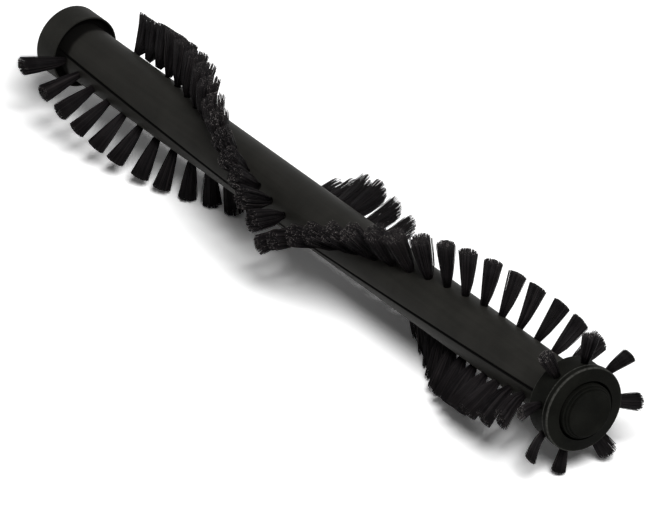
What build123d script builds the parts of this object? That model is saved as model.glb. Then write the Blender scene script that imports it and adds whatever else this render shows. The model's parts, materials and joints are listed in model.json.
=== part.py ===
from build123d import *
from math import asin, degrees
import os

# Sweeper roller brush, in millimetres.
# The roller lies along X with its tufted end at +X, Z is up, and the origin is on the axis
# at the middle of the V that the tufts make. Angles about the roller are degrees from +Z
# towards -Y, which is a right-hand turn about +X.

# Roller body: two moulded half shells that close round the axle
BODY_D = 23.5
FAR_REACH = 172.2          # middle of the V to the front of the drive collar
NEAR_REACH = 172.7         # middle of the V to the back of the tufted end cap
AXLE_ROOM = 0.6            # radial room between the shells and the axle
PARTING_LEAD = 20.4        # degrees from the first hole of the upper rows to the parting line
PARTING_WALL = 0.2         # between the parting line and the last hole of the lower rows
PARTING_GAP = 0.2
PARTING_BEVEL = 0.35       # bevel on the shells' outer edges, seen as a fine dark line
PEG_D = 2.4
PEG_LENGTH = 3.0
PEG_SPACING = 60.0
PEG_CLEARANCE = 0.1

# Bristle tufts, folded in two and anchored in drilled holes
TIP_D = 60.5               # swept diameter of the trimmed bristle tips
TUFT_PITCH = 10.0
TUFT_LEAD = 350.0          # length in which a row would climb one full turn
COLLAR_MARGIN = 2.0        # closest that the lower row comes to the collar
COLLAR_STOP = 22.0         # the upper row stops this far from the collar
CAP_MARGIN = 12.0          # closest that both rows come to the end cap
FOOT_TUFT = 8              # this tuft of each lower row points straight down
V_APART = 170.0            # degrees from the upper shell's V to the lower shell's
TUFT_ROOT_D = 3.0
TUFT_FLARE = 6.5           # half angle of the splayed bristles
TUFT_SIDES = 8
HOLE_DEPTH = 4.6
HOLE_CLEARANCE = 0.1       # radial
STAPLE_WIDTH = 0.4
STAPLE_HEIGHT = 1.6
STAPLE_CLEARANCE = 0.05

# Tufted end cap and drive collar
CAP_D = 37.0
CAP_CROWN = 1.1            # rise of the cap's face from its rim to the hub
DISC_WIDTH = 3.2           # the cap's front disc, at its rim
DISC_PROUD = 0.7           # height of the front disc above the drum behind it
CAP_TUFTS = 8
CAP_TUFT_PLACE = 7.0       # cap's back to the middle of its tufts
CAP_TUFT_START = -15.0
COLLAR_BACK = 0.4          # collar's back wall beyond the bearing
CUP_DEPTH = 2.6            # open cup in the collar's front, round the body
CUP_ROOM = 3.15            # radial room between the body and the cup's wall
CUP_WALL = 0.7
COLLAR_ROUND = 1.4
RIM_ROUND = 0.7
EDGE_ROUND = 0.2
SEAT_DEPTH = 4.5           # how far the shells sit in the collar and in the cap
SEAT_FIT = 0.05            # radial
LIP = 0.8                  # wall between the shells' ends and the bearing

# Axle, hubs and ball bearings
AXLE_D = 8.0
STUB_D = 7.0               # the axle's turned-down far end
STUB_LENGTH = 5.0          # the same end, beyond the far hub
AXLE_GRIP = 5.0            # axle inside the near hub
AXLE_BEVEL = 0.5
PRESS_FIT = 0.01           # radial
BEARING_D = 16.0
BEARING_WIDTH = 5.0
BALL_D = 2.4
BALL_COUNT = 9
BALL_PLAY = 0.02
RACE_LAND = 0.7            # race shoulder, measured in from the balls' circle
SHIELD_THICKNESS = 0.3
SHIELD_GAP = 0.15
CAGE_WALL = 0.7
CAGE_WIDTH = 3.0
CAGE_PLAY = 0.06
CLIP_THICKNESS = 0.6
CLIP_PROUD = 1.2           # radial height of a circlip above the axle
CLIP_DEPTH = 0.4           # axle groove
CLIP_OPENING = 5.0
CLIP_PLAY = 0.05
HUB_D = 23.8
HUB_GAP = 0.3              # running gap between a hub and what turns beside it
HUB_GROOVE = 1.1           # open groove round the near hub
HUB_SEAT = 4.2             # depth of the near hub's recess in the cap
HUB_PROUD = 1.1            # height of the near hub's rim above the cap's face
HUB_STEP = 1.1             # height of each of the two steps on the near hub
HUB_STEP_IN = 0.9          # how much smaller each step is, radially
HUB_ROUND = 0.4
FAR_HUB_D = 20.0
FAR_HUB_WIDTH = 2.5

# Radii and stations along X that follow from the sizes above
body_r = BODY_D / 2
tip_r = TIP_D / 2
axle_r = AXLE_D / 2
shell_bore_r = axle_r + AXLE_ROOM
peg_place_r = (shell_bore_r + body_r) / 2
seat_r = body_r + SEAT_FIT
hole_r = TUFT_ROOT_D / 2 + HOLE_CLEARANCE
bearing_r = BEARING_D / 2
ball_circle_r = (axle_r + bearing_r) / 2
inner_land_r = ball_circle_r - RACE_LAND
outer_land_r = ball_circle_r + RACE_LAND
lip_r = outer_land_r - SHIELD_GAP
clip_r = axle_r + CLIP_PROUD
clip_room_r = clip_r + AXLE_ROOM
drum_r = CAP_D / 2 - DISC_PROUD
tuft_twist = 360 / TUFT_LEAD
lower_phase = 180 + tuft_twist * FOOT_TUFT * TUFT_PITCH
upper_phase = lower_phase - V_APART

shell_near_x = NEAR_REACH + SEAT_DEPTH
shell_far_x = -(FAR_REACH + CUP_DEPTH + SEAT_DEPTH)
bearing_near_x = shell_near_x + LIP + BEARING_WIDTH / 2
bearing_far_x = shell_far_x - LIP - BEARING_WIDTH / 2
cap_face_x = bearing_near_x + BEARING_WIDTH / 2 + HUB_SEAT
cap_rim_x = cap_face_x - CAP_CROWN
collar_back_x = bearing_far_x - BEARING_WIDTH / 2 - COLLAR_BACK
hub_near_x = bearing_near_x + BEARING_WIDTH / 2
hub_far_x = bearing_far_x - BEARING_WIDTH / 2
hub_far_back_x = collar_back_x - HUB_GAP - FAR_HUB_WIDTH
axle_far_x = hub_far_back_x - STUB_LENGTH
axle_near_x = hub_near_x + AXLE_GRIP


def turned(*points):
    """A solid turned about X from (x, radius) corners; a third number rounds a corner."""
    corners = [point[:2] for point in points]
    rounds = [point[2] if len(point) > 2 else 0 for point in points]
    return revolve(make_face(FilletPolyline(*corners, radius=rounds, close=True)), Axis.X)


def ring(x0, x1, inner_r, outer_r):
    """A plain ring about the X axis."""
    return turned((x0, inner_r), (x1, inner_r), (x1, outer_r), (x0, outer_r))


def outward(x, angle, radius):
    """A place on the roller whose Z points straight out from the axis."""
    return Pos(X=x) * Rot(X=angle) * Pos(Z=radius)


def group(solids):
    """Separate solids that share one node."""
    return Compound(children=list(solids))


# Places of the tufts

def row(side, first, room, phase):
    """(x, angle) of each tuft of one run, from the middle to where its room ends."""
    last = int(room / TUFT_PITCH)
    steps = [i * TUFT_PITCH for i in range(first, last + 1)]
    return [(side * step, phase - tuft_twist * step) for step in steps]


ROWS = {
    "upper_far": row(-1, 1, FAR_REACH - COLLAR_STOP, upper_phase),
    "upper_near": row(1, 0, NEAR_REACH - CAP_MARGIN, upper_phase),
    "lower_far": row(-1, 1, FAR_REACH - COLLAR_MARGIN, lower_phase),
    "lower_near": row(1, 0, NEAR_REACH - CAP_MARGIN, lower_phase),
}
CAP_RING = [
    (NEAR_REACH + CAP_TUFT_PLACE, CAP_TUFT_START + i * 360 / CAP_TUFTS) for i in range(CAP_TUFTS)
]


# Half shells of the roller body

parting_angle = upper_phase + PARTING_LEAD
last_x, last_angle = ROWS["lower_far"][-1]
last_hole_half_angle = degrees(asin((hole_r + PARTING_WALL) / (body_r - HOLE_DEPTH)))
parting_twist = (parting_angle - last_angle + last_hole_half_angle) / abs(last_x)


def half_space():
    """Everything on one side of the twisted parting face, as a near and a far solid."""
    reach = max(shell_near_x, -shell_far_x) + SEAT_DEPTH
    edge = PARTING_GAP / 2
    wide = 2 * body_r
    corner = body_r - PARTING_BEVEL
    profile = Plane.YZ * Polyline(
        (-wide, edge + wide - corner),
        (-corner, edge),
        (corner, edge),
        (wide, edge + wide - corner),
        (wide, 2 * wide),
        (-wide, 2 * wide),
        close=True,
    )
    section = (Rot(X=parting_angle - 90) * make_face(profile)).face()
    near = Solid.extrude_linear_with_rotation(section, (0, 0, 0), (reach, 0, 0), -parting_twist * reach)
    return near, mirror(near, about=Plane.YZ)


def pegs(side_turn, radius, length):
    """Pins across the parting face of one side, at the peg stations of both halves."""
    pins = []
    stations = int(min(NEAR_REACH, FAR_REACH) / PEG_SPACING)
    for i in range(1, stations + 1):
        for x in (-i * PEG_SPACING, i * PEG_SPACING):
            angle = parting_angle - parting_twist * abs(x) + side_turn
            pins.append(outward(x, angle, peg_place_r) * Rot(X=90) * Cylinder(radius, 2 * length))
    return pins


def shell_blank():
    """One half shell before its tuft holes: pegs along one edge, sockets along the other."""
    near_space, far_space = half_space()
    near = ring(0, shell_near_x, shell_bore_r, body_r) & near_space
    far = ring(shell_far_x, 0, shell_bore_r, body_r) & far_space
    shell = near + far
    room = CLIP_THICKNESS + AXLE_ROOM
    relief = [
        ring(shell_near_x - room, shell_near_x, shell_bore_r / 2, clip_room_r),
        ring(shell_far_x, shell_far_x + room, shell_bore_r / 2, clip_room_r),
    ]
    sockets = pegs(180, PEG_D / 2 + PEG_CLEARANCE, PEG_LENGTH + PEG_CLEARANCE)
    return shell + pegs(0, PEG_D / 2, PEG_LENGTH) - relief - sockets


def holes(places, surface_r):
    """Drilled holes for tufts in a surface of the given radius."""
    drill = Cylinder(hole_r, 2 * HOLE_DEPTH)
    return [outward(x, angle, surface_r) * drill for x, angle in places]


# Tufts and their staples

def tuft(surface_r):
    """One tuft along Z from the axis: straight root, splayed bristles, slot for its staple."""
    bottom = surface_r - HOLE_DEPTH
    outline = RegularPolygon(TUFT_ROOT_D / 2, TUFT_SIDES)
    root = extrude(Pos(Z=bottom) * outline, HOLE_DEPTH)
    splay = extrude(Pos(Z=surface_r) * outline, tip_r - surface_r, taper=-TUFT_FLARE)
    slot_height = STAPLE_HEIGHT + STAPLE_CLEARANCE
    slot = Box(TUFT_ROOT_D * 2, STAPLE_WIDTH + 2 * STAPLE_CLEARANCE, 2 * slot_height)
    return root + splay - Pos(Z=bottom) * slot


def staple(surface_r):
    """The flat wire anchor across the bottom of a tuft's hole."""
    length = 2 * (hole_r - STAPLE_CLEARANCE)
    bottom = surface_r - HOLE_DEPTH
    return Pos(Z=bottom + STAPLE_HEIGHT / 2) * Box(length, STAPLE_WIDTH, STAPLE_HEIGHT)


def planted(piece, places):
    """Copies of a tuft or staple, one for each place."""
    return [outward(x, angle, 0) * piece for x, angle in places]


# End pieces that turn with the roller

def end_cap():
    """The tufted drum at the near end, with seats for the shells, the bearing and the hub."""
    cap_r = CAP_D / 2
    hub_room_r = HUB_D / 2 + HUB_GROOVE
    disc_back_x = cap_rim_x - DISC_WIDTH
    bearing_back = bearing_near_x - BEARING_WIDTH / 2
    bearing_front = bearing_near_x + BEARING_WIDTH / 2
    drum = turned(
        (NEAR_REACH, seat_r),
        (shell_near_x, seat_r),
        (shell_near_x, lip_r),
        (bearing_back, lip_r),
        (bearing_back, bearing_r + PRESS_FIT),
        (bearing_front, bearing_r + PRESS_FIT),
        (bearing_front, hub_room_r),
        (cap_face_x, hub_room_r),
        (cap_rim_x, cap_r, RIM_ROUND),
        (disc_back_x, cap_r, EDGE_ROUND),
        (disc_back_x, drum_r),
        (NEAR_REACH, drum_r, RIM_ROUND),
    )
    return drum - holes(CAP_RING, drum_r)


def drive_collar():
    """The smooth belt collar at the far end, open like a cup round the body."""
    cup_r = body_r + CUP_ROOM
    collar_r = cup_r + CUP_WALL
    bearing_front = bearing_far_x + BEARING_WIDTH / 2
    return turned(
        (collar_back_x, bearing_r + PRESS_FIT),
        (bearing_front, bearing_r + PRESS_FIT),
        (bearing_front, lip_r),
        (shell_far_x, lip_r),
        (shell_far_x, seat_r),
        (-FAR_REACH - CUP_DEPTH, seat_r),
        (-FAR_REACH - CUP_DEPTH, cup_r),
        (-FAR_REACH, cup_r, EDGE_ROUND),
        (-FAR_REACH, collar_r, EDGE_ROUND),
        (collar_back_x, collar_r, COLLAR_ROUND),
    )


# Axle and hubs, which stay still

def axle():
    """The steel axle, with a turned-down far end and a groove for each circlip."""
    stub_r = STUB_D / 2
    rod = turned(
        (axle_far_x, 0),
        (axle_near_x, 0),
        (axle_near_x, axle_r - AXLE_BEVEL),
        (axle_near_x - AXLE_BEVEL, axle_r),
        (hub_far_back_x, axle_r),
        (hub_far_back_x, stub_r),
        (axle_far_x + AXLE_BEVEL, stub_r),
        (axle_far_x, stub_r - AXLE_BEVEL),
    )
    grooves = [ring(x0, x1, axle_r - CLIP_DEPTH, AXLE_D) for x0, x1 in clip_grooves()]
    return rod - grooves


def clip_grooves():
    """The axle grooves against the inward face of each bearing."""
    near = bearing_near_x - BEARING_WIDTH / 2
    far = bearing_far_x + BEARING_WIDTH / 2
    width = CLIP_THICKNESS + 2 * CLIP_PLAY
    return (near - width, near), (far, far + width)


def hub_near():
    """The stepped plug in the end cap: blind on the axle, bearing on the inner race."""
    base_x = hub_near_x + HUB_GAP
    rim_x = cap_face_x + HUB_PROUD
    hub_r = HUB_D / 2
    middle_r = hub_r - HUB_STEP_IN
    top_r = middle_r - HUB_STEP_IN
    bore_r = axle_r + PRESS_FIT
    return turned(
        (axle_near_x, 0),
        (rim_x + 2 * HUB_STEP, 0),
        (rim_x + 2 * HUB_STEP, top_r, HUB_ROUND),
        (rim_x + HUB_STEP, top_r),
        (rim_x + HUB_STEP, middle_r, HUB_ROUND),
        (rim_x, middle_r),
        (rim_x, hub_r, HUB_ROUND),
        (base_x, hub_r),
        (base_x, inner_land_r),
        (hub_near_x, inner_land_r),
        (hub_near_x, bore_r),
        (axle_near_x, bore_r),
    )


def hub_far():
    """The plug behind the drive collar, with the axle through it."""
    face_x = collar_back_x - HUB_GAP
    hub_r = FAR_HUB_D / 2
    bore_r = axle_r + PRESS_FIT
    return turned(
        (hub_far_x, bore_r),
        (hub_far_x, inner_land_r),
        (face_x, inner_land_r),
        (face_x, hub_r),
        (hub_far_back_x, hub_r, RIM_ROUND),
        (hub_far_back_x, bore_r),
    )


# Ball bearings

def race_groove():
    """The round track that the balls run in, about X at the origin."""
    return Rot(Y=90) * Torus(ball_circle_r, BALL_D / 2 + BALL_PLAY)


def on_ball_circle(piece):
    """Copies of a piece at each ball's place round the bearing."""
    return [Rot(X=i * 360 / BALL_COUNT) * Pos(Z=ball_circle_r) * piece for i in range(BALL_COUNT)]


def bearing(end, x):
    """The pieces of one shielded ball bearing, by node name."""
    half = BEARING_WIDTH / 2
    inner = ring(-half, half, axle_r + PRESS_FIT, inner_land_r) - race_groove()
    outer = ring(-half, half, outer_land_r, bearing_r) - race_groove()
    cage = ring(-CAGE_WIDTH / 2, CAGE_WIDTH / 2, ball_circle_r - CAGE_WALL / 2, ball_circle_r + CAGE_WALL / 2)
    cage = cage - on_ball_circle(Sphere(BALL_D / 2 + CAGE_PLAY))
    shield = ring(half - SHIELD_THICKNESS, half, inner_land_r + SHIELD_GAP, outer_land_r - BALL_PLAY)
    pieces = {
        "outer_race": outer,
        "inner_race": inner,
        "balls": group(on_ball_circle(Sphere(BALL_D / 2))),
        "cage": cage,
        "shields": group([shield, mirror(shield, about=Plane.YZ)]),
    }
    return {f"bearing_{end}_{name}": Pos(X=x) * piece for name, piece in pieces.items()}


def circlip(groove):
    """An open spring ring in one of the axle's grooves."""
    x0, x1 = groove
    clip = ring(x0 + CLIP_PLAY, x1 - CLIP_PLAY, axle_r - CLIP_DEPTH + CLIP_PLAY, clip_r)
    opening = Pos(X=(x0 + x1) / 2, Z=-clip_r) * Box(2 * CLIP_THICKNESS, CLIP_OPENING, 2 * clip_r)
    return clip - opening


def build():
    """Every node of the roller brush, by name."""
    blank = shell_blank()
    upper_places = ROWS["upper_far"] + ROWS["upper_near"]
    lower_places = ROWS["lower_far"] + ROWS["lower_near"]
    near_groove, far_groove = clip_grooves()
    nodes = {
        "shell_upper": blank - holes(upper_places, body_r),
        "shell_lower": Rot(X=180) * blank - holes(lower_places, body_r),
        "end_cap": end_cap(),
        "drive_collar": drive_collar(),
        "staples_upper": group(planted(staple(body_r), upper_places)),
        "staples_lower": group(planted(staple(body_r), lower_places)),
        "staples_end_cap": group(planted(staple(drum_r), CAP_RING)),
        "tufts_end_cap": group(planted(tuft(drum_r), CAP_RING)),
        "axle": axle(),
        "hub_near": hub_near(),
        "hub_far": hub_far(),
        "circlip_near": circlip(near_groove),
        "circlip_far": circlip(far_groove),
    }
    for name, places in ROWS.items():
        nodes[f"tufts_{name}"] = group(planted(tuft(body_r), places))
    nodes.update(bearing("near", bearing_near_x))
    nodes.update(bearing("far", bearing_far_x))
    return nodes


os.makedirs("parts", exist_ok=True)
for node_name, node in build().items():
    node.label = node_name
    export_step(node, f"parts/{node_name}.step")
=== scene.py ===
# %% [markdown]
# # A sweeper's roller brush
#
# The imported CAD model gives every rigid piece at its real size, in metres: X runs along the roller
# towards its tufted end cap, and Z is up. This lesson dresses that model. The rigid pieces keep their
# shape and get finishes made of shader nodes. The plain tuft solids are replaced by real bundles of
# bristles, because a brush is mostly bristle to the eye.

# %% Load the frame
import json
import math
import random

import bmesh
import bpy
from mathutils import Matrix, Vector


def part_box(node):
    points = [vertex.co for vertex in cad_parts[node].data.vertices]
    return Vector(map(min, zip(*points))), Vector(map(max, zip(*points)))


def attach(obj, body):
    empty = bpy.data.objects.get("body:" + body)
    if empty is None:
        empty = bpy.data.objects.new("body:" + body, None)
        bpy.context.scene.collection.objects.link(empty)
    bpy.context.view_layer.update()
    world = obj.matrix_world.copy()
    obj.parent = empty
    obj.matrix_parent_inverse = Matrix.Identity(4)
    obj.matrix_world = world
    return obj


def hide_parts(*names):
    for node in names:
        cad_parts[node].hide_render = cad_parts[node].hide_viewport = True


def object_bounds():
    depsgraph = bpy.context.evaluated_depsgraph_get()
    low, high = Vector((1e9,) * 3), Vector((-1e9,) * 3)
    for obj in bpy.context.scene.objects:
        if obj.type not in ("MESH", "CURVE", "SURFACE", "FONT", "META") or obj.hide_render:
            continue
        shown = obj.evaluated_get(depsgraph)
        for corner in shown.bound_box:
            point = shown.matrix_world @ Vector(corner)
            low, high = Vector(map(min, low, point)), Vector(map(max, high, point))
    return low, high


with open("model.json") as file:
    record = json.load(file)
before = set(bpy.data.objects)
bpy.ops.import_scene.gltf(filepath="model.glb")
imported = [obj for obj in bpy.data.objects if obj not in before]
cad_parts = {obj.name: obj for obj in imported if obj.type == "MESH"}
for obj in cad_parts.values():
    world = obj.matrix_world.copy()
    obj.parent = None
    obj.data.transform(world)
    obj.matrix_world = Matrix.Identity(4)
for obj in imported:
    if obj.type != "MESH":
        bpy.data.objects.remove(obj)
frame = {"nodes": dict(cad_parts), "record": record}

MM = 0.001
nodes = frame["nodes"]
cad_low, cad_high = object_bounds()
print("CAD box in mm:", [round(side / MM, 1) for side in cad_high - cad_low])

# %% [markdown]
# ## Shader maths that reads like sums
#
# A finish is a small sum over the surface: some noise here, a darker band there. Wiring each sum by
# hand hides it in dozens of nodes. The class below wraps one socket, so that `1 - mask * 0.5` adds the
# Math nodes by itself, and one method adds every other kind of node.

# %% A socket that can be added and multiplied
class Signal:
    """One output socket of a node tree."""

    def __init__(self, tree, socket=None):
        self.tree = tree
        self.socket = socket

    def node(self, kind, inputs, output=0, stops=None, **settings):
        """Add a node: its settings first, then the values or links of its sockets."""
        made = self.tree.nodes.new(kind)
        for name, value in settings.items():
            setattr(made, name, value)
        if stops:
            ramp = made.color_ramp.elements
            while len(ramp) < len(stops):
                ramp.new(0.5)
            for element, (place, colour) in zip(ramp, stops):
                element.position = place
                element.color = (*colour, 1)
        for key, value in inputs.items():
            if isinstance(value, Signal):
                self.tree.links.new(value.socket, made.inputs[key])
            else:
                made.inputs[key].default_value = value
        return Signal(self.tree, made.outputs[output])

    def math(self, operation, first, second=0.0):
        return self.node("ShaderNodeMath", {0: first, 1: second}, operation=operation)

    def __add__(self, other):
        return self.math("ADD", self, other)

    def __sub__(self, other):
        return self.math("SUBTRACT", self, other)

    def __rsub__(self, other):
        return self.math("SUBTRACT", other, self)

    def __mul__(self, other):
        return self.math("MULTIPLY", self, other)

    def __abs__(self):
        return self.math("ABSOLUTE", self)

    __radd__ = __add__
    __rmul__ = __mul__

    def step(self, low, high):
        """0 below low, 1 above high, and a smooth rise between them."""
        span = {"Value": self, "From Min": low, "From Max": high}
        return self.node("ShaderNodeMapRange", span, interpolation_type="SMOOTHSTEP")

    def noise(self, scale, detail=2.0):
        """Noise on this vector; scale is in waves for each metre."""
        spread = {"Vector": self, "Scale": scale, "Detail": detail}
        return self.node("ShaderNodeTexNoise", spread)

    def tint(self, low, high):
        """A colour between two, by this value; each of the two is a colour or a signal."""
        ends = [end if isinstance(end, Signal) else (*end, 1) for end in (low, high)]
        return self.node("ShaderNodeMix", {0: self, 6: ends[0], 7: ends[1]}, output=2, data_type="RGBA")

    def stretched(self, x, y, z):
        """This vector with its axes scaled."""
        return self.node("ShaderNodeVectorMath", {0: self, 1: (x, y, z)}, operation="MULTIPLY")

    def axis(self, letter):
        """One part of this vector."""
        return self.node("ShaderNodeSeparateXYZ", {0: self}, output="XYZ".index(letter))

    def from_axis(self):
        """Distance from the roller's axis."""
        flat = self.stretched(0, 1, 1)
        return self.node("ShaderNodeVectorMath", {0: flat}, output="Value", operation="LENGTH")


print("sums of sockets ready")


# %% Materials, links and relief
def new_finish(name):
    """A material with one Principled shader: the material, its shader and its Object coordinates."""
    material = bpy.data.materials.new(name)
    material.use_nodes = True
    tree = material.node_tree
    shader = tree.nodes["Principled BSDF"]
    place = Signal(tree).node("ShaderNodeTexCoord", {}, output="Object")
    return material, shader, place


def connect(shader, **signals):
    """Link signals to the shader's sockets, by name with _ for a space."""
    for name, signal in signals.items():
        signal.tree.links.new(signal.socket, shader.inputs[name.replace("_", " ")])


def relief(height, distance, strength):
    """A bump of the given depth in metres."""
    values = {"Height": height, "Distance": distance, "Strength": strength}
    return height.node("ShaderNodeBump", values, output="Normal")


def describe(*finishes):
    for finish in finishes:
        print(finish.name, "has", len(finish.node_tree.nodes), "nodes")


print("material helpers ready")

# %% [markdown]
# ## Moulded plastic
#
# The body is black plastic, moulded in two half shells against a finely eroded steel tool, so its skin
# has a grain of about a third of a millimetre and only a soft sheen. Larger, fainter clouds show where
# the melt flowed, and long faint drag lines run the way that the shells left the tool. All of it is
# noise on Object coordinates at those real sizes. Dirt has filled the joint between the halves. The
# joint turns slowly round the body, by the same amount for each millimetre away from the V's middle, so
# the sine of the angle from it is zero on both of its lines. The corner in front of the collar is
# painted dark as well, with the same colour: painted shade, where the collar shades the body.

# %% Finish of the half shells
GRAIN = 1 / (0.35 * MM)                  # waves for each metre, from the size of one
CLOUD = 1 / (14 * MM)
DRAG = 1 / (1.6 * MM)
DRAWN_OUT = 0.03                         # scale along the roller, which draws the drag lines out
SHELL_DARK = (0.0112, 0.0109, 0.0097)
SHELL_PALE = (0.0200, 0.0193, 0.0171)
SHELL_SHINE = 0.04
SHELL_RELIEF = 0.03 * MM
# dark of the dirt in the joint; the same colour is also painted shade in front of the collar and in the
# end pieces' recesses
DIRT_AND_SHADE = (0.0012, 0.0011, 0.0010)
JOINT_ANGLE = math.radians(112.7)        # where the joint lies at the V's middle
JOINT_TURN = math.radians(0.2344) / MM   # how far it turns along the roller
JOINT_WIDTH = (0.50 * MM, 0.90 * MM)     # half widths of the dirt and of its soft edge
COLLAR_SHADE = (3.5 * MM, 6.0 * MM)            # where the painted shade in front of the collar thins, and where it ends


def shell_finish(body_r, collar_x):
    material, shader, place = new_finish("shell_plastic")
    along = place.axis("X")
    angle = place.math("ARCTAN2", place.axis("Y") * -1, place.axis("Z"))
    from_joint = angle + abs(along) * JOINT_TURN - JOINT_ANGLE
    beside = abs(place.math("SINE", from_joint)) * body_r
    # painted shade: the body is darkened for a few millimetres in front of the collar, where the collar
    # shades it; the joint's dark band is dirt
    corner = (along - collar_x + place.noise(CLOUD * 4) * MM).step(*COLLAR_SHADE)
    clean_and_unshaded = beside.step(*JOINT_WIDTH) * (corner * 0.9 + 0.1)
    grain = place.noise(GRAIN, detail=3)
    cloud = place.noise(CLOUD, detail=3)
    drag = place.stretched(DRAWN_OUT, 1, 1).noise(DRAG, detail=1)
    mix = cloud * 0.55 + drag * 0.25 + grain * 0.2
    skin = mix.step(0.25, 0.75).tint(SHELL_DARK, SHELL_PALE)
    connect(
        shader,
        Base_Color=clean_and_unshaded.tint(DIRT_AND_SHADE, skin),
        Roughness=grain * 0.14 + drag * 0.06 - clean_and_unshaded * 0.4 + 0.82,
        Normal=relief(grain + drag * 0.3, SHELL_RELIEF, 0.6),
    )
    shader.inputs["Specular IOR Level"].default_value = SHELL_SHINE
    return material


def rim(node, end):
    """(x, radius) of a turned node's rim at one end, 0 for its lowest x and 1 for its highest."""
    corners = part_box(node)
    return corners[end].x, corners[1].z


collar_x, collar_r = rim("drive_collar", 1)
shell_plastic = shell_finish(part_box("shell_upper")[1].z, collar_x)
describe(shell_plastic)

# %% [markdown]
# ## End cap, collar and hubs
#
# The end pieces are moulded in a plainer black; the end cap's and hubs' black is painted darker than the
# body and collar, as painted shade on the end cap's face. Their faces keep the fine rings of the turned
# tool, and their rims are painted a little paler: worn where they are handled, and a painted highlight.
# The rings are a wave over the distance from the axis. The pale line is a narrow band round the rim,
# worked out from the frame's own boxes, and broken up by noise. The collar's cup and the groove round the
# hub are darkened as painted shade, so each recess is given as a span along the roller and a radius
# below which it is dark.

# %% Finish of the end pieces
RING = 2 * math.pi / (0.45 * MM)
PALE_LINE_WIDTH = 0.9 * MM
# pale colour of the rims: wear where they are handled, and a painted highlight on their edges
PALE_WEAR_AND_HIGHLIGHT = (0.055, 0.055, 0.050)
TURNED_RELIEF = 0.02 * MM
EDGE = 0.2 * MM          # how softly the painted shade of a recess ends


def turned_finish(name, dark, pale, shine, rims, recesses):
    """Plastic with turning rings; rims are (x, radius) and get a pale line of wear and painted highlight;
    recesses are (low x, high x, radius) and get painted shade.
    """
    material, shader, place = new_finish(name)
    distance = place.from_axis()
    along = place.axis("X")
    grain = place.noise(GRAIN * 0.8, detail=3)
    cloud = place.noise(CLOUD * 1.6, detail=2)
    rings = place.math("SINE", distance * RING) * 0.5 + 0.5
    # painted highlight and wear: a pale band round each given rim, broken up by noise
    wear_and_highlight = cloud * 0
    for x, radius in rims:
        near = abs(along - x) + abs(distance - radius)
        wear_and_highlight = wear_and_highlight + (1 - near.step(PALE_LINE_WIDTH * 0.4, PALE_LINE_WIDTH))
    wear_and_highlight = wear_and_highlight * (place.noise(GRAIN * 0.3, detail=3).step(0.3, 0.65) * 0.6 + 0.4)
    skin = (cloud * 0.6 + grain * 0.4).step(0.3, 0.7).tint(dark, pale)
    # painted shade: each recess is darkened to the dark colour of the joint dirt
    clean_and_unshaded = cloud * 0 + 1
    for low, high, radius in recesses:
        half = (high - low) / 2
        inside = 1 - abs(along - (low + high) / 2).step(half, half + EDGE)
        clean_and_unshaded = clean_and_unshaded * (1 - inside * (1 - distance.step(radius - EDGE, radius)))
    worn_and_highlit = (wear_and_highlight * 0.7).tint(skin, PALE_WEAR_AND_HIGHLIGHT)
    connect(
        shader,
        Base_Color=clean_and_unshaded.tint(DIRT_AND_SHADE, worn_and_highlit),
        Roughness=grain * 0.12 + rings * 0.05 - wear_and_highlight * 0.1 - clean_and_unshaded * 0.35 + 0.86,
        Normal=relief(grain + rings * 0.5, TURNED_RELIEF, 0.5),
    )
    shader.inputs["Specular IOR Level"].default_value = shine
    return material


# %% Rims and recesses of the end pieces
CAP_RIM = 1.1 * MM       # the rounded step between the cap's rim and its face
DISC_BACK = 4.3 * MM     # how far back the cap's front disc reaches
DISC_PROUD = 0.7 * MM    # how much wider than the drum it is
DRUM = 14.5 * MM         # how far back the cap's drum reaches
CUP_DEPTH = 2.6 * MM
CUP_WALL = 0.7 * MM
GROOVE = 1.1 * MM        # width of the groove round the hub
# the end cap's and hubs' black is painted darker than the collar's and the body's, as painted shade on the
# end cap's face
END_BLACK_SHADED = {"dark": (0.0028, 0.0029, 0.0024), "pale": (0.0066, 0.0068, 0.0056), "shine": 0.02}
COLLAR_BLACK = {"dark": (0.0110, 0.0108, 0.0096), "pale": (0.0200, 0.0195, 0.0172), "shine": 0.04}

cap_x, cap_r = rim("end_cap", 1)
hub_x, hub_r = rim("hub_near", 1)
# the cap's rims get the pale line of wear and painted highlight; the groove round the hub gets painted
# shade
cap_rims = [(cap_x - CAP_RIM, cap_r), (cap_x - DISC_BACK, cap_r), (cap_x - DRUM, cap_r - DISC_PROUD)]
cap_groove = (cap_x - DRUM, cap_x, hub_r + GROOVE)
# the collar's back rim gets the pale line of wear and painted highlight, and its cup gets painted shade
collar_rim = rim("drive_collar", 0)
collar_cup = (collar_x - 2 * CUP_DEPTH, collar_x, collar_r - CUP_WALL)
print("cap rims in mm:", [(round(x / MM, 1), round(r / MM, 1)) for x, r in cap_rims])

end_plastic = turned_finish("end_plastic", **END_BLACK_SHADED, rims=cap_rims, recesses=[cap_groove])
collar_plastic = turned_finish("collar_plastic", **COLLAR_BLACK, rims=[collar_rim], recesses=[collar_cup])
hub_plastic = turned_finish("hub_plastic", **END_BLACK_SHADED, rims=[(hub_x, hub_r)], recesses=[])
describe(end_plastic, collar_plastic, hub_plastic)

# %% [markdown]
# ## Steel and brass
#
# The axle, the bearings and the staples are metal: Metallic is 1 and set on the socket, since it is
# the same all over. What changes is the lay of the grinding marks. They run round the part, so the
# noise is stretched: long round the axis, short along it.

# %% Finish of the metals
MARK = 1 / (0.2 * MM)
MARK_LONG = 0.08         # scale round the axis, which draws the marks out
MARK_RELIEF = 0.004 * MM
STAIN = 1 / (5 * MM)


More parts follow.
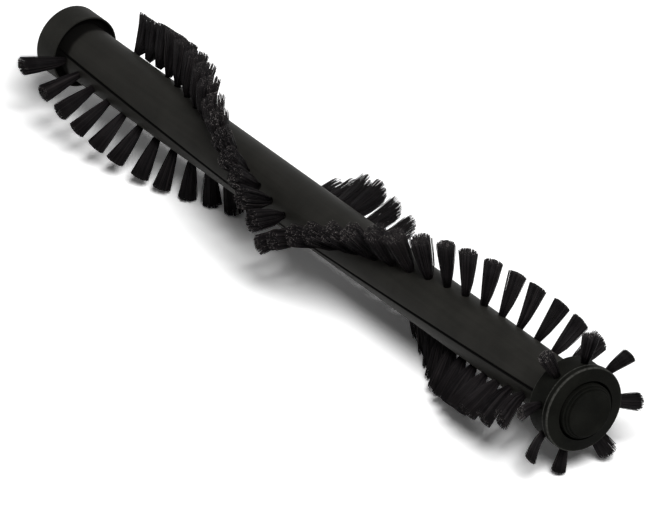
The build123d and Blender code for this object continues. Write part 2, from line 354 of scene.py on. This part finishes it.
def metal_finish(name, dark, pale, rough):
    material, shader, place = new_finish(name)
    shader.inputs["Metallic"].default_value = 1.0
    marks = place.stretched(1, MARK_LONG, MARK_LONG).noise(MARK, detail=3)
    stain = place.noise(STAIN, detail=3)
    connect(
        shader,
        Base_Color=(marks * 0.5 + stain * 0.5).step(0.3, 0.7).tint(dark, pale),
        Roughness=marks * 0.18 + stain * 0.1 + rough,
        Normal=relief(marks, MARK_RELIEF, 0.4),
    )
    return material


bright_steel = metal_finish("bright_steel", dark=(0.42, 0.42, 0.42), pale=(0.62, 0.62, 0.63), rough=0.22)
black_steel = metal_finish("black_steel", dark=(0.05, 0.05, 0.055), pale=(0.12, 0.12, 0.12), rough=0.32)
cage_brass = metal_finish("cage_brass", dark=(0.50, 0.34, 0.13), pale=(0.68, 0.50, 0.24), rough=0.28)
describe(bright_steel, black_steel, cage_brass)

# %% [markdown]
# ## Bristle
#
# The bristles are stiff black nylon. Each one differs a little in tone, and the trimmed ends are rough
# and scatter more light, so they show as pale specks. The meshes carry two attributes for this: `tone`
# is one random number for each bristle, and `cut` is 1 on the trimmed ends.

# %% Finish of the bristles
NYLON = [
    (0.0, (0.0024, 0.0022, 0.0025)),
    (0.4, (0.0080, 0.0069, 0.0076)),
    (0.7, (0.0175, 0.0150, 0.0156)),
    (1.0, (0.042, 0.037, 0.037)),
]
CUT_END = (0.38, 0.35, 0.34)
DUST = 1 / (4 * MM)
NYLON_SHINE = 0.06


def bristle_finish():
    material, shader, place = new_finish("bristle")
    tone = place.node("ShaderNodeAttribute", {}, output="Fac", attribute_name="tone")
    cut = place.node("ShaderNodeAttribute", {}, output="Fac", attribute_name="cut")
    dust = place.noise(DUST, detail=3)
    shade = place.node("ShaderNodeValToRGB", {"Fac": tone * 0.85 + dust * 0.15}, stops=NYLON)
    connect(
        shader,
        Base_Color=(cut * tone.step(0.25, 0.75)).tint(shade, CUT_END),
        Roughness=tone * 0.15 + cut * 0.25 + 0.40,
    )
    shader.inputs["Specular IOR Level"].default_value = NYLON_SHINE
    return material


bristle = bristle_finish()
describe(bristle)

# %% [markdown]
# ## Dressing the CAD pieces
#
# The record names a material slot for each node, so one table from slot to finish dresses the whole
# model, the pieces inside it too. The collar shares its slot with the end cap. The end cap's finish is
# painted darker as painted shade on its face, so the collar gets a finish of its own afterwards, about
# as grey as the body.

# %% Dress the CAD pieces
FINISHES = {
    "shell_plastic": shell_plastic,
    "end_plastic": end_plastic,
    "hub_plastic": hub_plastic,
    "axle_steel": bright_steel,
    "bearing_steel": bright_steel,
    "staple_wire": bright_steel,
    "spring_steel": black_steel,
    "cage_brass": cage_brass,
    "bristle": bristle,
}
for part in frame["record"]["subparts"]:
    nodes[part["node"]].material_slots[0].material = FINISHES[part["material_slot"]]
nodes["drive_collar"].material_slots[0].material = collar_plastic
print("dressed", len(nodes), "CAD nodes")

# %% [markdown]
# ## Where the tufts stand
#
# The CAD model already has one plain solid for each tuft. Reading their places from the frame keeps
# the bristles and the solids together: each separate island of a tuft node gives a middle, an outward
# direction, and how wide the bundle is where it leaves its hole and at its trimmed tip.

# %% Read the tufts from the frame
SAME_POINT = 0.001 * MM
ROOT_BAND = 0.1 * MM     # corners this close to a tuft's lowest one are its root
FLARE = 1.02             # where it is this much wider than its root, the tuft has left its hole


def islands(bm):
    """The separate solids of a mesh, as lists of corner points."""
    left = set(bm.verts)
    for start in bm.verts:
        if start not in left:
            continue
        left.remove(start)
        found = [start]
        for vert in found:
            near = [edge.other_vert(vert) for edge in vert.link_edges]
            near = [other for other in near if other in left]
            found.extend(near)
            left.difference_update(near)
        yield [vert.co.copy() for vert in found]


def tufts_of(node):
    """Places of a node's tufts, in order along the roller."""
    bm = bmesh.new()
    bm.from_mesh(nodes[node].data)
    bmesh.ops.remove_doubles(bm, verts=bm.verts, dist=SAME_POINT)
    places = []
    for points in islands(bm):
        middle = sum(points, Vector()) / len(points)
        outward = Vector((0, middle.y, middle.z)).normalized()
        centre = Vector((middle.x, 0, 0))
        heights = [point.dot(outward) for point in points]
        widths = [(point - centre - outward * height).length for point, height in zip(points, heights)]
        corners = list(zip(widths, heights))
        root_top = min(heights) + ROOT_BAND
        root_width = max(width for width, height in corners if height < root_top)
        places.append({
            "x": middle.x,
            "angle": math.degrees(math.atan2(-middle.y, middle.z)),
            "outward": outward,
            "surface": max(height for width, height in corners if width < FLARE * root_width),
            "tip": max(heights),
            "root_width": root_width,
            "tip_width": max(widths),
        })
    bm.free()
    return sorted(places, key=lambda place: (round(place["x"] / MM), place["angle"]))


ROWS = ("tufts_upper_far", "tufts_upper_near", "tufts_lower_far", "tufts_lower_near", "tufts_end_cap")
tufts = {name: tufts_of(name) for name in ROWS}
for name, places in tufts.items():
    shape = [round(places[0][key] / MM, 2) for key in ("surface", "tip", "root_width", "tip_width")]
    print(name, len(places), "tufts; surface, tip and widths in mm:", shape)

# %% [markdown]
# ## One bristle
#
# A hair system would be the quick way, but hair isn't a mesh and can't be kept with the part. So one
# bristle is modelled, a thin three-sided rod with a few rings to bend at. It is extruded ring by ring
# from a triangle, and has only eleven faces, because there will be thousands of copies.

# %% The bristle that all others are copied from
BRISTLE_RINGS = 3


def make_bristle():
    """A rod of radius 1 and height 1, standing on the origin."""
    bm = bmesh.new()
    bmesh.ops.create_circle(bm, cap_ends=True, segments=3, radius=1)
    top = bm.faces[:]
    for ring in range(BRISTLE_RINGS):
        grown = bmesh.ops.extrude_face_region(bm, geom=top)["geom"]
        if ring:
            bmesh.ops.delete(bm, geom=top, context="FACES_ONLY")
        top = [item for item in grown if isinstance(item, bmesh.types.BMFace)]
        corners = [item for item in grown if isinstance(item, bmesh.types.BMVert)]
        bmesh.ops.translate(bm, verts=corners, vec=(0, 0, 1 / BRISTLE_RINGS))
    bmesh.ops.recalc_face_normals(bm, faces=bm.faces)
    mesh = bpy.data.meshes.new("bristle")
    bm.to_mesh(mesh)
    bm.free()
    return mesh


rod = make_bristle()
print("one bristle:", len(rod.vertices), "corners,", len(rod.polygons), "faces")

# %% [markdown]
# ## A tuft of bristles
#
# Every tuft gets bent copies of that rod. A sunflower spiral spreads the copies evenly over the bundle,
# their tips draw together in clumps, and small seeded accidents do the rest: wavering, a few strays, and
# ends that are trimmed almost to one cylinder. A bristle that leans keeps its length, so its tip comes
# nearer to the body.

# %% Bend copies of the bristle into a tuft
BRISTLES = 250           # in each tuft
BRISTLE_D = 0.30 * MM
GIRTH = (0.85, 1.15)     # least and most of that width
TAPER = 0.2              # how much thinner a bristle is at its tip
SUNK = 0.8 * MM          # how far the bristles start below the surface
GOLDEN_TURN = math.pi * (3 - math.sqrt(5))
TURN_SLIP = 0.4          # accident in a bristle's turn on the spiral
OPENING = 2.5            # how much earlier a bushy bundle opens
CLUMPS = 4               # clumps of bristles between a tuft's middle and its edge
GATHER = 0.22            # how far the tips draw together in their clump
CLUMP_TONE = 0.5         # share of its tone that a bristle takes from its clump
MOSTLY_DARK = (1.3, 2.4)     # form of the spread of the rest of its tone
TRIM = 0.10 * MM         # unevenness of the trimmed ends
DOME = 0.7 * MM          # how much shorter the outermost bristles are
DOME_POWER = 4
WAVER = 0.13 * MM        # sideways accident of one bristle's tip
BOW = (0.8, 1.5)         # least and most of a bristle's bow, where 1 is straight
STRAY_SHARE = 0.02
STRAY = 0.8 * MM
TUFT_LEAN = 0.45 * MM    # sideways accident of a whole tuft
LEAN_POWER = 1.3         # a lean grows with this power of the height
UPWARD = 0.9             # a face whose normal rises more than this is a trimmed end


def plant(bm, place, chance, lean, bush):
    """Add the bristles of one tuft to a row's mesh.

    Lean moves its tip along and across the roller, and bush is how much wider than its solid it opens.
    """
    tone = bm.faces.layers.float["tone"]
    cut = bm.faces.layers.float["cut"]
    along = Vector((1, 0, 0))
    outward = place["outward"]
    across = outward.cross(along)

    def sideways(first, second):
        return along * first + across * second

    sway = sideways(lean[0] + chance.gauss(0, TUFT_LEAN), lean[1] + chance.gauss(0, TUFT_LEAN))
    opening = bush ** -OPENING
    start = place["surface"] - SUNK
    clumps = {}
    for i in range(BRISTLES):
        # Where this bristle stands in the bundle, and its accidents
        spread = math.sqrt((i + 0.5) / BRISTLES)
        turn = i * GOLDEN_TURN + chance.uniform(-TURN_SLIP, TURN_SLIP)
        side = sideways(math.cos(turn), math.sin(turn)) * spread
        clump = (round(CLUMPS * side.dot(along)), round(CLUMPS * side.dot(across)))
        clump_shade = clumps.setdefault(clump, chance.random())
        stray = STRAY if chance.random() < STRAY_SHARE else 0
        loose = WAVER + stray / 2
        waver = sideways(chance.gauss(0, loose), chance.gauss(0, loose))
        foot = side * (place["root_width"] - BRISTLE_D / 2)
        gathered = side.lerp(sideways(*clump) / CLUMPS, GATHER)
        tip = gathered * (place["tip_width"] * bush - BRISTLE_D) + waver
        reach = place["tip"] - start - abs(chance.gauss(0, TRIM + stray / 2)) - DOME * spread ** DOME_POWER
        bow = waver * (chance.uniform(*BOW) - 1)
        thick = BRISTLE_D / 2 * chance.uniform(*GIRTH)
        shade = CLUMP_TONE * clump_shade + (1 - CLUMP_TONE) * chance.betavariate(*MOSTLY_DARK)

        # A copy of the rod, bent along that bristle's line
        first_vert = len(bm.verts)
        first_face = len(bm.faces)
        bm.from_mesh(rod)
        bm.verts.ensure_lookup_table()
        bm.faces.ensure_lookup_table()
        for vert in bm.verts[first_vert:]:
            rise = vert.co.z * reach - SUNK
            share = max(0.0, rise / (reach - SUNK))
            leant = sway * share ** LEAN_POWER
            if share > 0:
                rise = math.sqrt(rise ** 2 - leant.length_squared)
            drift = foot.lerp(tip, share ** opening) + leant + bow * math.sin(math.pi * share)
            girth = thick * (1 - TAPER * vert.co.z)
            centre = along * place["x"] + outward * (place["surface"] + rise) + drift
            vert.co = centre + sideways(vert.co.x, vert.co.y) * girth
        for face in bm.faces[first_face:]:
            face[tone] = shade
            face[cut] = 1.0 if face.normal.z > UPWARD else 0.0
            face.smooth = len(face.verts) == 4


print(BRISTLES, "bristles for each tuft,", round(BRISTLE_D / MM, 2), "mm thick")

# %% [markdown]
# ## Rows of tufts
#
# Real tufts don't all stand to attention. Use has combed some of them: those at the far end lean
# outwards, those at the back lean upwards, and some have grown bushy. A few key places along each row
# say how far the tips lean there, in millimetres along and across the roller, and how bushy the tufts
# are. The tufts between two key places take a share of both. The tufts of the end cap stand in a ring,
# so their key places are angles.

# %% How the rows are combed
COMBED = {
    "tufts_upper_far": [
        (-150, -10, 0, 1.5), (-140, -9.5, 0, 1.55), (-120, -5, 0, 1.5), (-90, 0, 4, 1.4),
        (-70, 3, 2.5, 1.45), (-10, 3, 2, 1.4),
    ],
    "tufts_upper_near": [
        (0, -2, -2, 1.2), (20, -1.5, 2, 1.35), (60, -2.5, 1.5, 1.4), (80, -3, 1, 1.3),
        (90, -3, 1, 1.12), (110, -4, 1, 1.12), (140, -2, -1.5, 1.12), (160, -3, -1, 1.3),
    ],
    "tufts_lower_far": [
        (-170, -6.5, 0, 1.15), (-160, 0, 0, 1.1), (-90, 0, 0, 1.12), (-60, 0, 0, 1.35),
        (-50, 0, 0, 1.4), (-30, 0.5, -11, 1.4), (-10, 2, -13, 1.45),
    ],
    "tufts_lower_near": [
        (0, 3, -11, 1.45), (20, 3, -12, 1.45), (40, 0, -4, 1.3), (60, 0, 0, 1.4),
        (130, 0, 0, 1.35), (160, 7, -1, 1.3),
    ],
    "tufts_end_cap": [
        (-180, 2, 0, 1.4), (-150, 2, 0, 1.5), (-105, 5, -2, 1.3), (-60, 3, -0.5, 1.15),
        (-15, 0, 0, 1.3), (30, 0, 0, 1.2), (75, 3, -2.5, 1.1), (120, 0.5, -3.5, 1),
        (165, 0, 0, 1.05), (180, 2, 0, 1.4),
    ],
}
BESIDE = 0.5             # how far past a row's end key places a tuft may stand


def combed_at(keys, where):
    """The lean in metres, and the bush, between the two key places around this one."""
    for (low, *first), (high, *last) in zip(keys, keys[1:]):
        if low - BESIDE <= where <= high + BESIDE:
            share = (where - low) / (high - low)
            lean_along, lean_across, bush = [a + (b - a) * share for a, b in zip(first, last)]
            return (lean_along * MM, lean_across * MM), bush


print("key places:", sum(len(keys) for keys in COMBED.values()))


# %% Plant the rows
def make_row(node, seed):
    chance = random.Random(seed)
    bm = bmesh.new()
    bm.faces.layers.float.new("tone")
    bm.faces.layers.float.new("cut")
    for place in tufts[node]:
        where = place["angle"] if node == "tufts_end_cap" else place["x"] / MM
        plant(bm, place, chance, *combed_at(COMBED[node], where))
    mesh = bpy.data.meshes.new(node.replace("tufts", "bristles"))
    bm.to_mesh(mesh)
    bm.free()
    mesh.materials.append(bristle)
    row = bpy.data.objects.new(mesh.name, mesh)
    bpy.context.scene.collection.objects.link(row)
    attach(row, "roller")
    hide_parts(node)
    return row


for seed, node in enumerate(ROWS):
    row = make_row(node, seed)
    print(row.name, len(row.data.polygons), "faces")

# %% [markdown]
# ## Floor
#
# The roller lies on its tufts, so the floor is at the lowest point of the CAD box. It is white paper,
# lit by a lamp to one side, and so it would fade to grey away from the lamp. Camera rays and reflections
# see it brighter than it is, by the cube of the distance to the lamp, which is how fast a lamp's light
# fades along a floor. So the floor meets the white surround without a line, while its shadow stays.

# %% Floor
FLOOR_SIDE = 12.0
PAPER = 0.8
PAPER_SEEN = 1.3         # the paper's colour to the rays that see it, under the roller
KEY_PLACE = Vector((1.60, -0.52, 1.95))
SEEING_RAYS = ("Is Camera Ray", "Is Glossy Ray", "Is Transmission Ray")


def rays_that_see(tree):
    """1 for the rays that show the white surround."""
    first, *others = [Signal(tree).node("ShaderNodeLightPath", {}, output=kind) for kind in SEEING_RAYS]
    for other in others:
        first = first.math("MAXIMUM", first, other)
    return first


def floor_finish():
    material, shader, place = new_finish("paper")
    ends = {0: place, 1: KEY_PLACE}
    to_lamp = place.node("ShaderNodeVectorMath", ends, output="Value", operation="DISTANCE")
    away = to_lamp * (1 / KEY_PLACE.length)
    seen = rays_that_see(place.tree)
    connect(shader, Base_Color=seen.tint((PAPER,) * 3, away * away * away * PAPER_SEEN))
    shader.inputs["Roughness"].default_value = 0.9
    shader.inputs["Specular IOR Level"].default_value = 0.0
    return material


bm = bmesh.new()
bmesh.ops.create_grid(bm, x_segments=1, y_segments=1, size=FLOOR_SIDE / 2)
bmesh.ops.translate(bm, verts=bm.verts, vec=(0, 0, cad_low.z))
floor_mesh = bpy.data.meshes.new("floor")
bm.to_mesh(floor_mesh)
bm.free()
floor_mesh.materials.append(floor_finish())
floor = bpy.data.objects.new("floor", floor_mesh)
bpy.context.scene.collection.objects.link(floor)
print("floor at", round(cad_low.z / MM, 2), "mm")

# %% [markdown]
# ## Light
#
# One broad lamp stands high up beyond the near end and throws the soft shadow under the roller. A weak
# one beyond the far end and a dim sky keep the dark side readable. The camera and the reflections see
# the sky as plain white.

# %% Lamps and sky
SKY = 0.10
WHITE = (1, 1, 1)


def soft_lamp(name, power, across, place):
    """A round lamp that looks at the middle of the brush."""
    light = bpy.data.lights.new(name, "AREA")
    light.shape = "DISK"
    light.size = across
    light.energy = power
    lamp = bpy.data.objects.new(name, light)
    lamp.location = place
    lamp.rotation_mode = "QUATERNION"
    lamp.rotation_quaternion = (-place).to_track_quat("-Z", "Y")
    bpy.context.scene.collection.objects.link(lamp)


soft_lamp("key", power=78.0, across=1.3, place=KEY_PLACE)
soft_lamp("side", power=1.6, across=1.2, place=Vector((-1.15, -0.80, 0.72)))

world = bpy.data.worlds.new("studio")
world.use_nodes = True
bpy.context.scene.world = world
sky_colour = rays_that_see(world.node_tree).tint((SKY,) * 3, WHITE)
connect(world.node_tree.nodes["Background"], Color=sky_colour)
print("two lamps, sky", SKY)

# %% [markdown]
# ## Camera
#
# The picture was taken with a long lens, so a narrow view from far off gives the same nearly parallel
# lines. The camera's turn, height and scale come from fitting the body's edges, the round ends and the
# tuft tips. The middle of the brush isn't the middle of the picture, so the camera is slid sideways
# and up or down.

# %% Camera
PICTURE = (652, 506)
AZIMUTH = math.radians(55.52)
ELEVATION = math.radians(29.56)
PIXELS_PER_METRE = 2458.0
VIEW_ANGLE = math.radians(1.9)
MIDDLE_PIXEL = (320.8, 221.0)   # where the origin lies in the picture

back = Vector((
    math.sin(AZIMUTH) * math.cos(ELEVATION),
    -math.cos(AZIMUTH) * math.cos(ELEVATION),
    math.sin(ELEVATION),
))
right = Vector((math.cos(AZIMUTH), math.sin(AZIMUTH), 0))
up = back.cross(right)
distance = PICTURE[0] / PIXELS_PER_METRE / 2 / math.tan(VIEW_ANGLE / 2)
slide_right = (PICTURE[0] / 2 - MIDDLE_PIXEL[0]) / PIXELS_PER_METRE
slide_up = (MIDDLE_PIXEL[1] - PICTURE[1] / 2) / PIXELS_PER_METRE

lens = bpy.data.cameras.new("camera")
lens.angle = VIEW_ANGLE
camera = bpy.data.objects.new("camera", lens)
camera.rotation_mode = "QUATERNION"
camera.rotation_quaternion = (-back).to_track_quat("-Z", "Y")
camera.location = back * distance + right * slide_right + up * slide_up
bpy.context.scene.collection.objects.link(camera)
bpy.context.scene.camera = camera
bpy.context.scene.view_settings.view_transform = "Standard"
print("camera", round(distance, 2), "m away")
